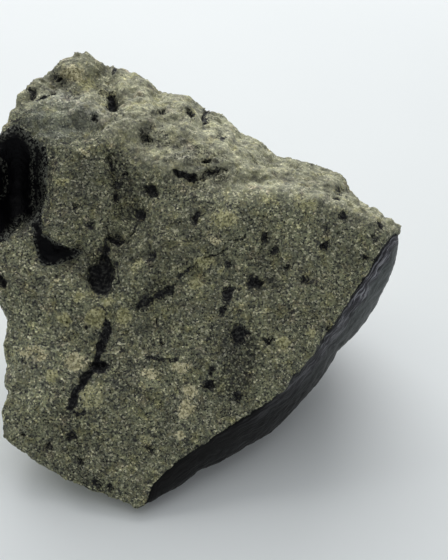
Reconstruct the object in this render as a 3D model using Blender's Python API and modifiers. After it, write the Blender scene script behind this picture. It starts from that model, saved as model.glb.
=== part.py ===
"""A hand-sized martian meteorite: a broken chip of fine-grained stone, dark fusion crust on its right side.

Lengths are in metres unless a name ends in _MM. +Z is up, and the stone rests on z = 0 with its box
centred on the origin. The corners of the chip are given in mm from its front tip: +x right, +y away,
+z up. The chip is the hull of its corners, hollowed, worn by displacement, and smoother on its crust.
Small forms on the seen side are named by where the sight line to them crosses a view of 448 by 560
points, and have their size in mm.
"""

import math

import bmesh
import bpy
from mathutils import Matrix, Vector, noise
from mathutils.bvhtree import BVHTree

MM = 0.001
STONE = "meteorite"

# The middle of the chip's box on the ground, in mm from its front tip, which stays just clear of it.
MIDDLE_MM = Vector((4.5, 18.54, -0.75))

# The eye, in mm from the front tip, the tilt of its view and the points that one radian spans.
EYE_MM = Vector((7.6, -95.8, 98.0))
EYE_TILT = math.radians(37)
VIEW_POINTS = 1500.0
VIEW_CENTRE = (224.0, 280.0)

# Corners of the chip's broken faces, in mm from the front tip.
FRONT_TIP = [(-0.2, -1.3, -0.5), (-1.3, -0.3, -0.2)]
LOWER_LEFT_EDGE = [(-3.9, 1.2, 0.1), (-7.1, 2.3, 0.6), (-10.3, 3.8, 1.6), (-13.9, 6.2, 3.7)]
LEFT_EDGE = [(-13.6, 9.0, 7.0), (-14.0, 13.8, 13.1), (-15.2, 18.5, 18.5), (-15.2, 22.5, 22.0)]
SHOULDER = [(-14.2, 26.0, 24.3), (-12.7, 30.0, 26.0), (-9.2, 34.1, 27.3), (-6.4, 36.3, 27.7)]
BACK_RIM = [(-1.8, 37.1, 24.3), (3.2, 36.1, 22.1), (7.4, 34.9, 20.5), (11.0, 33.0, 18.8)]
BACK_RIM_RIGHT = [(15.6, 30.4, 17.8), (19.1, 27.5, 17.9), (22.1, 21.9, 18.0)]
RIDGE = [(-8.1, 29.3, 25.6), (-4.1, 26.0, 25.3), (0.7, 22.0, 23.1), (5.4, 19.8, 22.1)]
RIDGE_RIGHT = [(9.5, 19.3, 21.5), (14.6, 19.7, 21.0), (19.3, 19.1, 19.8)]
BACK_WALL = [(-11.5, 33.0, 13.0), (-2.0, 36.6, 11.0), (8.0, 35.2, 9.5), (16.0, 31.0, 9.0)]
FOOT = [(3.5, 14.5, -1.0), (8.0, 16.5, -1.0), (9.0, 22.0, -1.0), (6.5, 26.5, -1.0)]
FOOT_LEFT = [(0.5, 26.5, -1.0), (-2.5, 22.5, -1.0), (-1.0, 17.0, -1.0)]

# Corners of the crusted face: its edge with the front, its widest reach and its hidden far side.
CRUST_EDGE = [(1.3, 1.8, 1.5), (5.5, 3.7, 3.5), (9.4, 5.9, 5.5), (13.2, 7.8, 7.5), (17.0, 11.1, 11.3)]
CRUST_EDGE_RIGHT = [(20.0, 13.9, 14.5), (22.7, 16.8, 17.7), (24.9, 18.3, 17.9)]
CRUST_BELLY = [(24.9, 18.5, 16.0), (24.0, 18.1, 13.0), (22.5, 16.5, 9.2), (19.7, 14.3, 6.4)]
CRUST_BELLY_LOW = [(15.4, 11.5, 1.9), (11.7, 8.6, 0.2), (7.8, 5.2, 0.0), (3.1, 1.3, -0.3)]
CRUST_FAR_SIDE = [(23.4, 25.0, 11.8), (21.6, 23.1, 5.2), (18.9, 28.5, 3.5), (18.0, 20.8, 1.3)]
CRUST_UNDERSIDE = [(14.0, 14.8, -0.3), (14.5, 21.0, -0.2)]

# Hollows cut right through the skin: view point, half width, half height and half depth in mm, turn.
HOLLOWS = {
    "glass_pocket": (17.0, 184.0, 2.0, 5.6, 4.2, 4.0),
    "deep_pit": (100.0, 274.0, 1.3, 1.6, 2.4, 10.0),
}

# Dents and lumps: view point, half width and half height in mm, height in mm (a dent's is negative).
FORMS = {
    "upper_left_facet": (70.0, 122.0, 2.8, 2.0, -0.7),
    "facet_brow": (108.0, 150.0, 1.8, 1.2, 0.6),
    "block": (84.0, 205.0, 2.8, 3.8, 0.8),
    "block_foot": (64.0, 236.0, 1.8, 1.4, 0.4),
    "valley_head": (132.0, 198.0, 1.4, 1.6, -0.6),
    "left_flank": (30.0, 330.0, 2.6, 5.0, 0.4),
    "lower_left_lobe": (45.0, 395.0, 3.0, 3.0, 0.4),
    "vein_shoulder": (128.0, 380.0, 2.4, 2.8, 0.45),
    "foot_hollow": (112.0, 455.0, 2.4, 1.4, -0.5),
    "foot_lump": (90.0, 478.0, 1.8, 1.0, 0.35),
    "tip_knob": (136.0, 500.0, 0.9, 1.0, 0.3),
    "face_hollow": (250.0, 340.0, 2.4, 3.4, -0.7),
    "face_hollow_low": (228.0, 402.0, 2.0, 1.8, -0.45),
    "face_swell": (305.0, 268.0, 3.6, 3.6, 0.45),
    "face_swell_low": (180.0, 405.0, 3.0, 3.4, 0.4),
    "edge_swell": (282.0, 372.0, 1.4, 1.8, 0.4),
    "ridge_shoulder": (255.0, 202.0, 3.0, 1.2, 0.5),
    "ridge_dip": (208.0, 192.0, 1.4, 0.9, -0.4),
    "right_hollow": (268.0, 240.0, 1.6, 1.6, -0.4),
    "top_trough": (148.0, 148.0, 3.0, 1.3, -0.8),
    "top_trough_right": (262.0, 180.0, 3.2, 0.8, -0.7),
    "top_swell": (196.0, 140.0, 3.0, 1.6, 0.6),
    "top_slit": (113.0, 100.0, 0.8, 1.2, -0.9),
    "top_hollow": (60.0, 84.0, 1.6, 0.9, -0.5),
    "peak": (82.0, 54.0, 1.8, 1.2, 0.5),
    "peak_notch": (112.0, 66.0, 1.8, 0.8, -0.8),
    "rim_lobe": (202.0, 106.0, 2.4, 1.0, 1.0),
    "rim_notch": (160.0, 88.0, 1.0, 0.8, -0.3),
    "rim_slope": (240.0, 128.0, 1.6, 1.0, -0.3),
    "rim_lobe_right": (342.0, 178.0, 2.0, 1.0, 1.0),
    "rim_notch_right": (274.0, 154.0, 1.8, 0.8, -1.0),
    "end_notch": (362.0, 202.0, 1.2, 0.8, -0.4),
}

# Melt veins and cracks: their view points, half width and depth in mm.
GROOVES = {
    "melt_vein": ([(108, 318), (106, 335), (100, 352), (97, 366), (85, 385), (71, 412)], 0.6, 0.45),
    "glass_arrow": ([(44, 236), (46, 255), (60, 256), (80, 252)], 0.9, 0.8),
    "valley": ([(130, 200), (115, 237), (105, 262)], 1.0, 0.6),
    "crevice": ([(174, 176), (192, 174), (212, 178), (230, 186)], 0.7, 0.6),
}

# Ledges, raised on the right of their line as it runs: view points, height and reach in mm.
LEDGES = {
    "plateau_edge": ([(238, 234), (216, 249), (200, 262), (180, 277), (160, 291), (140, 304)], 0.6, 4.5),
    "block_edge": ([(60, 264), (88, 260), (106, 240), (116, 205), (112, 165)], -0.5, 3.0),
    "upper_ledge": ([(236, 184), (214, 174), (192, 170), (168, 172), (150, 166)], 0.7, 2.2),
    "face_ledge": ([(252, 300), (244, 330), (232, 362), (226, 385)], 0.45, 2.5),
    "left_ledge": ([(20, 300), (40, 340), (44, 380), (66, 424)], -0.4, 3.0),
}
LEDGE_SOFTNESS_MM = 0.9
LEDGE_END_MM = 1.4

# How far past the stone's outline the seen forms go on, as a part of facing straight away.
RIM_FADE = 0.45

# Wear of the broken faces and of the crust: wavelength and height in mm.
BROKEN_WEAR = [(9.0, 0.8), (4.2, 0.5), (2.2, 0.3)]
CRUST_WEAR = [(11.0, 0.35), (5.0, 0.12)]
CHIP_SIZE_MM = 3.4
CHIP_TILT = 0.2
CHIP_SCATTER = 7.3

# The crust's edge across the view, how soft its wear's change is, and the way that its hidden part faces.
CRUST_LINE = [
    (120, 520), (145, 505), (154, 481), (183, 457), (218, 434), (261, 408), (285, 389),
    (314, 353), (346, 306), (373, 263), (389, 238), (401, 232), (420, 215),
]
CRUST_EDGE_BLEND_MM = 0.8
CRUST_FACING = Vector((0.74, -0.47, -0.49)).normalized()
CRUST_FACING_LEAST = 0.2
CRUST_FACING_BLEND = 0.2

# The seed of the chips' tilts.
CHIP_SEED = 1795639328

VOXEL_MM = 1.02
SMOOTHING_STEPS = 2
CRUST_SMOOTHING_STEPS = 12
GROUND_WIDTH_MM = 60.0
GROUND_DEPTH_MM = 6.0

STONE_COLOUR = (0.14, 0.14, 0.105, 1.0)
STONE_ROUGHNESS = 0.8


def clear_scene():
    """Leaves an empty scene."""
    for thing in list(bpy.data.objects):
        bpy.data.objects.remove(thing, do_unlink=True)


def collection_named(name):
    """A new collection in the scene."""
    made = bpy.data.collections.new(name)
    bpy.context.scene.collection.children.link(made)
    return made


def sight_line(u, v):
    """The direction from the eye through a view point, unit length."""
    right = (u - VIEW_CENTRE[0]) / VIEW_POINTS
    up = (VIEW_CENTRE[1] - v) / VIEW_POINTS
    cos_tilt = math.cos(EYE_TILT)
    sin_tilt = math.sin(EYE_TILT)
    return Vector((right, cos_tilt + up * sin_tilt, up * cos_tilt - sin_tilt)).normalized()


def view_point(place):
    """Where a place appears in the view, and the points that one mm spans there."""
    offset = place / MM - EYE_MM
    cos_tilt = math.cos(EYE_TILT)
    sin_tilt = math.sin(EYE_TILT)
    away = offset.y * cos_tilt - offset.z * sin_tilt
    up = offset.y * sin_tilt + offset.z * cos_tilt
    scale = VIEW_POINTS / away
    return VIEW_CENTRE[0] + offset.x * scale, VIEW_CENTRE[1] - up * scale, scale


def line_side(u, v, points):
    """How far a view point is from a line, positive on its right, and how far it is past the line's ends."""
    here = Vector((u, v))
    nearest = math.inf
    side = 0.0
    beyond = 0.0
    last_index = len(points) - 2
    for index, (first, last) in enumerate(zip(points, points[1:])):
        start = Vector(first)
        along = Vector(last) - start
        part = (here - start).dot(along) / along.length_squared
        away = here - start - along * min(max(part, 0.0), 1.0)
        if away.length < nearest:
            nearest = away.length
            side = along.x * (here.y - start.y) - along.y * (here.x - start.x)
            before = -part if index == 0 else 0.0
            after = part - 1.0 if index == last_index else 0.0
            beyond = max(before, after, 0.0) * along.length
    return math.copysign(nearest, side), beyond


def crust_share(place, normal):
    """1 on the crust, 0 on the broken faces, and between them along the crust's edge."""
    hidden = smooth_step((normal.dot(CRUST_FACING) - CRUST_FACING_LEAST) / CRUST_FACING_BLEND)
    u, v, scale = view_point(place)
    if normal.dot(EYE_MM - place / MM) < 0.0:
        return hidden
    return smooth_step(line_side(u, v, CRUST_LINE)[0] / scale / CRUST_EDGE_BLEND_MM + 0.5)


def object_from(bm, name, collection):
    """An object holding a bmesh, which is freed."""
    mesh = bpy.data.meshes.new(name)
    bm.to_mesh(mesh)
    bm.free()
    made = bpy.data.objects.new(name, mesh)
    collection.objects.link(made)
    return made


def hull_object(corners_mm, name, collection):
    """The convex hull of corners given in mm from the front tip."""
    bm = bmesh.new()
    for corner in corners_mm:
        bm.verts.new(Vector(corner) * MM)
    bmesh.ops.convex_hull(bm, input=bm.verts[:])
    spare = [vertex for vertex in bm.verts if not vertex.link_faces]
    bmesh.ops.delete(bm, geom=spare, context="VERTS")
    bmesh.ops.recalc_face_normals(bm, faces=bm.faces[:])
    return object_from(bm, name, collection)


def hollow_object(name, place, hollow, collection):
    """An ellipsoid that cuts a hollow where a sight line meets the stone."""
    u, v, half_width, half_height, half_depth, turn = hollow
    away = sight_line(u, v)
    right = Vector((1.0, 0.0, 0.0))
    up = right.cross(away).normalized()
    right = away.cross(up)
    turned = Matrix.Rotation(math.radians(turn), 4, away)
    axes = Matrix((right, up, away)).transposed().to_4x4()
    size = Matrix.Diagonal((half_width * MM, half_height * MM, half_depth * MM, 1.0))
    bm = bmesh.new()
    bmesh.ops.create_uvsphere(bm, u_segments=32, v_segments=20, radius=1.0)
    bmesh.ops.transform(bm, matrix=Matrix.Translation(place) @ turned @ axes @ size, verts=bm.verts[:])
    bmesh.ops.recalc_face_normals(bm, faces=bm.faces[:])
    return object_from(bm, name, collection)


def ground_object(collection):
    """The box under the stone whose top is the flat spot's plane."""
    bm = bmesh.new()
    bmesh.ops.create_cube(bm, size=1.0)
    size = Matrix.Diagonal((GROUND_WIDTH_MM * MM, GROUND_WIDTH_MM * MM, GROUND_DEPTH_MM * MM, 1.0))
    drop = Matrix.Translation((0.0, 0.0, -GROUND_DEPTH_MM * MM / 2))
    bmesh.ops.transform(bm, matrix=drop @ size, verts=bm.verts[:])
    return object_from(bm, "ground", collection)


def combine(stone, cutter, operation):
    """A Boolean of the stone with a cutter, which stays as a wire guide."""
    cutter.hide_render = True
    cutter.display_type = "WIRE"
    modifier = stone.modifiers.new(cutter.name, "BOOLEAN")
    modifier.operation = operation
    modifier.solver = "EXACT"
    modifier.object = cutter


def bake(stone):
    """Makes the stone's evaluated shape its mesh and clears its modifiers."""
    depsgraph = bpy.context.evaluated_depsgraph_get()
    mesh = bpy.data.meshes.new_from_object(stone.evaluated_get(depsgraph))
    stone.modifiers.clear()
    stone.data = mesh


def soften(bm, vertices):
    """Moves vertices half way to the middle of their neighbours."""
    bmesh.ops.smooth_vert(bm, verts=vertices, factor=0.5, use_axis_x=True, use_axis_y=True, use_axis_z=True)


def remesh(stone):
    """Covers the stone with small even faces and softens their steps."""
    modifier = stone.modifiers.new("even_faces", "REMESH")
    modifier.mode = "VOXEL"
    modifier.voxel_size = VOXEL_MM * MM
    bake(stone)
    bm = bmesh.new()
    bm.from_mesh(stone.data)
    bm.normal_update()
    crust = [vertex for vertex in bm.verts if crust_share(vertex.co, vertex.normal) == 1.0]
    for _ in range(CRUST_SMOOTHING_STEPS):
        soften(bm, crust)
    for _ in range(SMOOTHING_STEPS):
        soften(bm, bm.verts[:])
    bm.to_mesh(stone.data)
    bm.free()


def smooth_step(value):
    """0 below 0, 1 above 1, and a soft rise between."""
    value = min(max(value, 0.0), 1.0)
    return value * value * (3.0 - 2.0 * value)


def seen_forms(place):
    """The height in mm that the named forms give a place on the seen side."""
    u, v, scale = view_point(place)
    height = 0.0
    for form_u, form_v, half_width, half_height, form_height in FORMS.values():
        across = (u - form_u) / scale / half_width
        down = (v - form_v) / scale / half_height
        height += form_height * math.exp(-across * across - down * down)
    for points, half_width, depth in GROOVES.values():
        away = line_side(u, v, points)[0] / scale / half_width
        height -= depth * math.exp(-away * away)
    for points, ledge_height, reach in LEDGES.values():
        side, beyond = line_side(u, v, points)
        rise = smooth_step(side / scale / LEDGE_SOFTNESS_MM + 0.5)
        inward = max(side, 0.0) / scale / reach
        past = beyond / scale / LEDGE_END_MM
        height += ledge_height * rise * math.exp(-inward * inward - past * past)
    return height


def chips(place_mm):
    """The height in mm of small tilted chip scars."""
    scaled = place_mm / CHIP_SIZE_MM
    centre = noise.voronoi(scaled)[1][0]
    tilt = noise.noise_vector(centre * CHIP_SCATTER)
    return CHIP_TILT * CHIP_SIZE_MM * (scaled - centre).dot(tilt)


def wear_height(place, normal):
    """The height in mm by which wear moves a place along its normal."""
    place_mm = place / MM
    broken = 1.0 - crust_share(place, normal)
    height = chips(place_mm) * broken
    for wavelength, amount in BROKEN_WEAR:
        height += broken * amount * noise.noise(place_mm / wavelength)
    for wavelength, amount in CRUST_WEAR:
        height += (1.0 - broken) * amount * noise.noise(place_mm / wavelength)
    facing = normal.dot((EYE_MM - place_mm).normalized())
    return height + broken * smooth_step(facing / RIM_FADE + 1.0) * seen_forms(place)


def wear(stone):
    """Moves every vertex by its wear."""
    moved = []
    for vertex in stone.data.vertices:
        height = wear_height(vertex.co, vertex.normal)
        moved.append(vertex.co + vertex.normal * height * MM)
    for vertex, place in zip(stone.data.vertices, moved):
        vertex.co = place
    stone.data.update()


def stone_material():
    """Grey-green stone with a dull surface."""
    material = bpy.data.materials.new("stone")
    material.use_nodes = True
    shader = material.node_tree.nodes["Principled BSDF"]
    shader.inputs["Base Color"].default_value = STONE_COLOUR
    shader.inputs["Roughness"].default_value = STONE_ROUGHNESS
    shader.inputs["Metallic"].default_value = 0.0
    return material


def build():
    """Makes the stone."""
    noise.seed_set(CHIP_SEED)
    clear_scene()
    parts = collection_named(STONE)
    cutters = collection_named("cutters")
    corners = FRONT_TIP + LOWER_LEFT_EDGE + LEFT_EDGE + SHOULDER + BACK_RIM + BACK_RIM_RIGHT
    corners += RIDGE + RIDGE_RIGHT + BACK_WALL + FOOT + FOOT_LEFT
    corners += CRUST_EDGE + CRUST_EDGE_RIGHT + CRUST_BELLY + CRUST_BELLY_LOW
    corners += CRUST_FAR_SIDE + CRUST_UNDERSIDE
    stone = hull_object(corners, STONE, parts)
    surface = BVHTree.FromPolygons(
        [vertex.co for vertex in stone.data.vertices],
        [polygon.vertices for polygon in stone.data.polygons],
    )
    for name, hollow in HOLLOWS.items():
        place = surface.ray_cast(EYE_MM * MM, sight_line(hollow[0], hollow[1]))[0]
        combine(stone, hollow_object(name, place, hollow, cutters), "DIFFERENCE")
    bake(stone)
    remesh(stone)
    wear(stone)
    to_middle = Matrix.Translation(-MIDDLE_MM * MM)
    stone.data.transform(to_middle)
    for cutter in cutters.objects:
        cutter.data.transform(to_middle)
    combine(stone, ground_object(cutters), "DIFFERENCE")
    stone.data.materials.append(stone_material())


build()
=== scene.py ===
"""A martian meteorite on a pale floor: grey-green broken stone with a dark fusion crust on one side.

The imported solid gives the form. A finer skin made from it carries the chipped grain, pits, cracks,
melt vein and crystals. Small forms on the seen side are named by where the sight line to them
crosses a view of 448 by 560 points, and have their size in mm.
"""

import math

import bmesh
import bpy
import numpy as np
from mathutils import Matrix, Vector, noise


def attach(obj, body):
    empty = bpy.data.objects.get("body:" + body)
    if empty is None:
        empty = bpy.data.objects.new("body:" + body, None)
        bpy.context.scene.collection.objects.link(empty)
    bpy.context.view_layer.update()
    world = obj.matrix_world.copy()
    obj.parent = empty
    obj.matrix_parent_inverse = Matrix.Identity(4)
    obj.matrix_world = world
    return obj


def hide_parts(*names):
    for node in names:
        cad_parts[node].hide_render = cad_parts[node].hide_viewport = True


MM = 0.001
NODE = "meteorite"

# The stone's front tip is the origin of the view: the middle of the part's box lies here from it, in mm.
MIDDLE_MM = np.array((4.5, 18.54, -0.75))
EYE_MM = np.array((7.6, -95.8, 98.0))
EYE_TILT = math.radians(37)
VIEW_POINTS = 1500.0
VIEW_WIDTH = 448.0
VIEW_HEIGHT = 560.0
SENSOR_MM = 36.0
CLIP_START = 0.005

# The crust's edge across the view.
CRUST_LINE = [
    (120, 520), (145, 505), (154, 481), (183, 457), (218, 434), (261, 408), (285, 389),
    (314, 353), (346, 306), (373, 263), (389, 238), (401, 232), (420, 215),
]
# The way that the crust's hidden part faces, how squarely, and by how much less at the seen part's end.
CRUST_FACING = Vector((0.74, -0.47, -0.49)).normalized()
CRUST_FACING_LEAST = 0.33
CRUST_FACING_SLACK = 0.15
# The mm inside the crust that a full change of facing stands for, and the most mm that are kept.
CRUST_FACING_MM = 8.0
CRUST_LIMIT_MM = 2.0

# The stone's outline in the view, around a centre. Left of the view it is guessed.
OUTLINE = [
    (400, 232), (395, 265), (385, 288), (372, 312), (338, 351), (304, 398), (291, 413), (268, 434),
    (245, 447), (199, 471), (159, 498), (144, 507), (137, 510), (134, 509), (129, 503), (108, 497),
    (101, 494), (88, 491), (83, 486), (74, 483), (66, 481), (58, 474), (35, 462), (27, 455), (7, 441),
    (2, 436), (3, 422), (1, 410), (5, 402), (8, 395), (4, 387), (4, 377), (7, 366), (5, 359), (3, 345),
    (6, 334), (7, 321), (3, 311), (-5, 300), (-14, 290), (-20, 280), (-19, 255), (-21, 247),
    (-12, 198), (-11, 171), (-4, 141), (0, 134), (2, 126), (8, 121), (9, 112), (15, 106), (16, 96),
    (34, 79), (47, 73), (60, 60), (69, 57), (75, 52), (82, 50), (89, 51), (97, 61), (116, 64),
    (127, 70), (138, 73), (151, 82), (160, 90), (175, 94), (188, 95), (203, 107), (223, 114),
    (240, 132), (262, 142), (276, 156), (289, 157), (311, 163), (333, 170), (341, 174), (347, 180),
    (349, 188), (356, 196), (365, 204), (377, 207), (382, 213), (391, 218), (393, 223), (401, 228),
]
OUTLINE_CENTRE = (190.0, 290.0)
OUTLINE_SECTORS = 360
# The outer share of the way from the centre in which the skin moves onto the outline.
OUTLINE_BAND = 0.3

# Pits and dark inclusions: view point, half width, half height and depth in mm, darkness, turn in degrees.
PITS = {
    "deep_pit": (101, 277, 1.0, 1.5, 0.8, 1.0, 6),
    "pit_above": (114, 239, 0.6, 0.4, 0.45, 0.9, 0),
    "valley_pit_a": (119, 198, 0.5, 0.52, 0.45, 0.95, 20),
    "valley_pit_b": (125, 172, 0.38, 0.42, 0.4, 0.8, 0),
    "valley_pit_c": (120, 184, 0.4, 0.7, 0.4, 0.7, 0),
    "ridge_pit": (148, 190, 0.62, 0.55, 0.5, 0.95, 10),
    "crack_pit": (137, 211, 0.4, 0.44, 0.4, 0.9, 30),
    "block_pit_a": (75, 206, 0.34, 0.34, 0.3, 0.75, 0),
    "block_pit_b": (91, 226, 0.4, 0.5, 0.3, 0.68, 0),
    "plateau_pit_a": (196, 217, 0.3, 0.66, 0.35, 0.9, 0),
    "plateau_pit_b": (151, 254, 0.6, 0.6, 0.3, 0.66, 0),
    "plateau_pit_c": (171, 289, 0.3, 0.3, 0.3, 0.85, 0),
    "face_pit_a": (265, 237, 0.4, 0.6, 0.4, 0.85, 20),
    "face_pit_b": (274, 251, 0.5, 0.4, 0.3, 0.72, 0),
    "face_pit_c": (287, 267, 0.28, 0.28, 0.3, 0.85, 0),
    "face_pit_d": (325, 246, 0.4, 0.46, 0.4, 0.9, 0),
    "face_pit_e": (254, 281, 0.75, 0.66, 0.5, 1.0, 10),
    "face_pit_f": (228, 294, 0.5, 0.66, 0.45, 1.0, 24),
    "face_pit_g": (223, 309, 0.3, 0.62, 0.35, 0.95, 10),
    "face_pit_h": (228, 264, 0.3, 0.4, 0.3, 0.85, 20),
    "face_pit_i": (241, 334, 0.72, 0.78, 0.5, 1.0, 40),
    "face_pit_j": (268, 342, 0.42, 0.42, 0.4, 0.95, 0),
    "face_pit_k": (211, 370, 0.3, 0.42, 0.3, 0.85, 0),
    "face_pit_l": (210, 385, 0.56, 0.42, 0.4, 0.95, 0),
    "face_pit_m": (237, 396, 0.42, 0.44, 0.3, 0.8, 0),
    "face_pit_n": (306, 280, 0.5, 0.34, 0.3, 0.8, 30),
    "face_pit_o": (163, 345, 0.24, 0.24, 0.25, 0.85, 0),
    "foot_pit_a": (70, 437, 0.56, 0.4, 0.4, 0.9, 0),
    "foot_pit_b": (48, 447, 0.42, 0.34, 0.3, 0.75, 30),
    "foot_pit_c": (96, 484, 0.6, 0.34, 0.3, 0.8, 40),
    "edge_pit_a": (365, 257, 0.34, 0.26, 0.3, 0.85, 0),
    "end_pit_a": (380, 226, 0.34, 0.26, 0.35, 0.95, 30),
    "end_pit_b": (373, 237, 0.3, 0.22, 0.25, 0.75, 30),
    "end_pit_c": (343, 216, 0.26, 0.44, 0.3, 0.85, -30),
    "face_pit_p": (327, 229, 0.4, 0.5, 0.2, 0.62, 0),
    "face_pit_q": (340, 191, 0.5, 0.44, 0.25, 0.6, 0),
    "foot_pit_d": (80, 462, 0.5, 0.34, 0.25, 0.68, 30),
    "foot_pit_e": (110, 488, 0.34, 0.3, 0.3, 0.85, 0),
    "foot_pit_f": (149, 451, 0.36, 0.36, 0.25, 0.75, 0),
    "foot_pit_g": (197, 447, 0.44, 0.26, 0.25, 0.8, -20),
    "edge_pit_b": (2, 281, 0.4, 0.6, 0.5, 0.95, 0),
    "top_slit": (112, 100, 0.36, 0.8, 0.8, 1.0, -8),
    "top_hole": (96, 120, 0.34, 0.3, 0.45, 0.9, 0),
    "top_pit_a": (162, 111, 0.4, 0.36, 0.5, 0.9, 0),
    "top_pit_b": (206, 116, 0.36, 0.7, 0.5, 0.9, 0),
    "top_pit_c": (58, 77, 0.6, 0.36, 0.5, 0.85, 0),
    "top_pit_d": (116, 71, 0.44, 0.36, 0.45, 0.8, 0),
    "top_pit_e": (206, 160, 0.44, 0.24, 0.4, 0.85, 0),
    "top_pit_f": (32, 92, 0.44, 0.4, 0.45, 0.85, 30),
    "top_pit_g": (192, 114, 0.4, 0.36, 0.4, 0.75, 0),
    "top_pit_h": (221, 137, 0.4, 0.36, 0.4, 0.75, 0),
    "top_pit_i": (148, 137, 0.5, 0.34, 0.45, 0.75, 0),
}

# Lines of melt, gaps and cracks: view points, half width and depth in mm, darkness.
VEINS = {
    "melt_vein": ([(107, 325), (106, 334), (101, 346), (98, 356), (98, 366)], 0.28, 0.35, 1.0),
    "melt_vein_bulge": ([(96, 364), (104, 367)], 0.36, 0.35, 1.0),
    "melt_vein_low": ([(98, 368), (88, 374), (80, 384), (74, 396), (70, 408)], 0.32, 0.4, 1.0),
    "melt_hook": ([(70, 406), (76, 412), (84, 414)], 0.13, 0.15, 0.9),
    "melt_root": ([(103, 306), (106, 314), (107, 326)], 0.08, 0.15, 0.8),
    # The crevice under the ledge: a real gap whose darkness is a painted shadow from the ledge.
    "crevice": ([(175, 172), (184, 176), (196, 178)], 0.22, 0.6, 0.9),
    "crevice_end": ([(202, 177), (213, 172), (226, 170)], 0.24, 0.4, 0.62),
    "crack_upper": ([(245, 237), (232, 245), (218, 255), (203, 258), (197, 264)], 0.07, 0.25, 0.75),
    "crack_lower": ([(197, 264), (190, 270), (183, 273), (173, 287)], 0.1, 0.25, 0.85),
    "crack_foot": ([(170, 290), (158, 296), (148, 299), (138, 308)], 0.24, 0.3, 0.8),
    "facet_crack": ([(36, 100), (44, 98), (54, 93)], 0.08, 0.3, 0.95),
    "pit_crack": ([(113, 262), (118, 271), (117, 282)], 0.09, 0.2, 0.85),
    "pit_stem": ([(105, 248), (106, 256), (103, 264)], 0.26, 0.3, 0.85),
    # The block's edge: its darkness is a painted shadow line beside the block.
    "block_edge": ([(110, 152), (113, 164), (115, 174), (116, 184)], 0.09, 0.4, 0.72),
    "block_foot": ([(108, 226), (106, 238), (106, 250)], 0.09, 0.25, 0.8),
    "valley_foot": ([(140, 216), (133, 228), (124, 240)], 0.12, 0.35, 0.75),
    "branch_a": ([(157, 318), (160, 334), (162, 346)], 0.08, 0.15, 0.75),
    "branch_b": ([(214, 324), (209, 336), (206, 352)], 0.08, 0.15, 0.75),
    "branch_c": ([(148, 356), (160, 360), (176, 360)], 0.08, 0.15, 0.75),
}

# Broad folds: view points, half width and depth in mm (a swell's is negative), how far grains darken; in
# the valley, under the ledge and in the top's hollows that darkening is painted shade.
FOLDS = {
    "glass_tongue": ([(38, 232), (44, 252), (56, 256), (76, 252)], 0.6, 0.5, 0.0),
    # Painted shade in the valley right of the block.
    "valley": ([(114, 158), (120, 178), (124, 200), (134, 216)], 1.0, 0.6, 0.75),
    "below_block": ([(122, 240), (112, 252), (92, 262), (74, 262)], 0.9, 0.4, 0.5),
    "below_ridge": ([(140, 185), (170, 196), (200, 206)], 1.1, 0.3, 0.3),
    "ridge_swell": ([(205, 186), (245, 194), (300, 196), (345, 210)], 0.9, -0.3, 0.0),
    # Painted shade under the ledge.
    "ledge_foot": ([(172, 178), (195, 184), (222, 176)], 0.7, 0.3, 0.6),
    "facet_brow": ([(66, 98), (84, 108), (100, 122)], 0.6, -0.35, 0.0),
    "facet_foot": ([(40, 140), (62, 144), (84, 148)], 0.8, -0.2, 0.0),
    "pocket_rim": ([(45, 150), (45, 180), (44, 212)], 0.85, 0.2, 0.85),
    "foot_chips": ([(74, 474), (88, 481), (102, 489)], 0.8, 0.15, 0.75),
    "end_knob": ([(391, 224), (397, 227)], 0.35, -0.25, 0.0),
    "pocket_floor": ([(4, 236), (14, 228), (30, 232)], 0.8, 0.2, 0.85),
    "dark_patch_low": ([(238, 342), (243, 360), (236, 378)], 1.5, 0.2, 0.85),
    "dark_patch_right": ([(262, 262), (268, 285)], 1.2, 0.15, 0.5),
    "dark_patch_mid": ([(158, 290), (140, 304)], 0.9, 0.15, 0.8),
    "dark_patch_left": ([(60, 420), (86, 440)], 1.5, 0.2, 0.6),
    "dark_patch_vein": ([(66, 372), (62, 392)], 0.8, 0.15, 0.5),
    "dark_patch_right_of_vein": ([(112, 366), (128, 376)], 1.0, 0.1, 0.65),
    "below_top": ([(150, 136), (185, 150), (215, 162)], 1.0, 0.4, 0.6),
    # Painted shade in the top's hollows.
    "top_hollow_a": ([(58, 78), (70, 92)], 0.9, 0.4, 0.6),
    "top_hollow_b": ([(106, 92), (114, 112)], 0.8, 0.4, 0.65),
    "top_hollow_c": ([(84, 82), (96, 74)], 0.8, 0.25, 0.4),
}

# Yellow-green and cream crystals: view point, half width and half height in mm, strength.
OLIVINES = {
    "olivine_a": (96, 318, 0.95, 0.88, 0.95),
    "olivine_b": (108, 302, 0.44, 0.42, 0.95),
    "olivine_c": (79, 298, 0.56, 0.5, 0.8),
    "olivine_d": (64, 320, 0.66, 0.62, 1.0),
    "olivine_e": (124, 317, 0.66, 0.86, 0.95),
    "olivine_f": (90, 399, 1.2, 1.2, 0.56),
    "olivine_g": (52, 377, 0.5, 0.7, 0.8),
    "olivine_h": (137, 266, 0.75, 0.7, 0.5),
    "olivine_i": (205, 262, 0.9, 0.56, 0.8),
    "olivine_j": (220, 272, 0.36, 0.36, 0.85),
    "olivine_k": (224, 219, 1.3, 0.9, 0.7),
    "olivine_l": (195, 285, 0.6, 0.5, 0.8),
    "olivine_m": (284, 342, 0.56, 0.5, 0.95),
    "olivine_n": (312, 332, 0.4, 0.42, 0.85),
    "olivine_o": (62, 182, 0.7, 0.4, 0.7),
    "olivine_p": (146, 440, 0.6, 0.5, 0.5),
    "olivine_q": (86, 82, 1.0, 0.7, 0.75),
    "olivine_r": (305, 205, 1.0, 0.5, 0.65),
}
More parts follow.
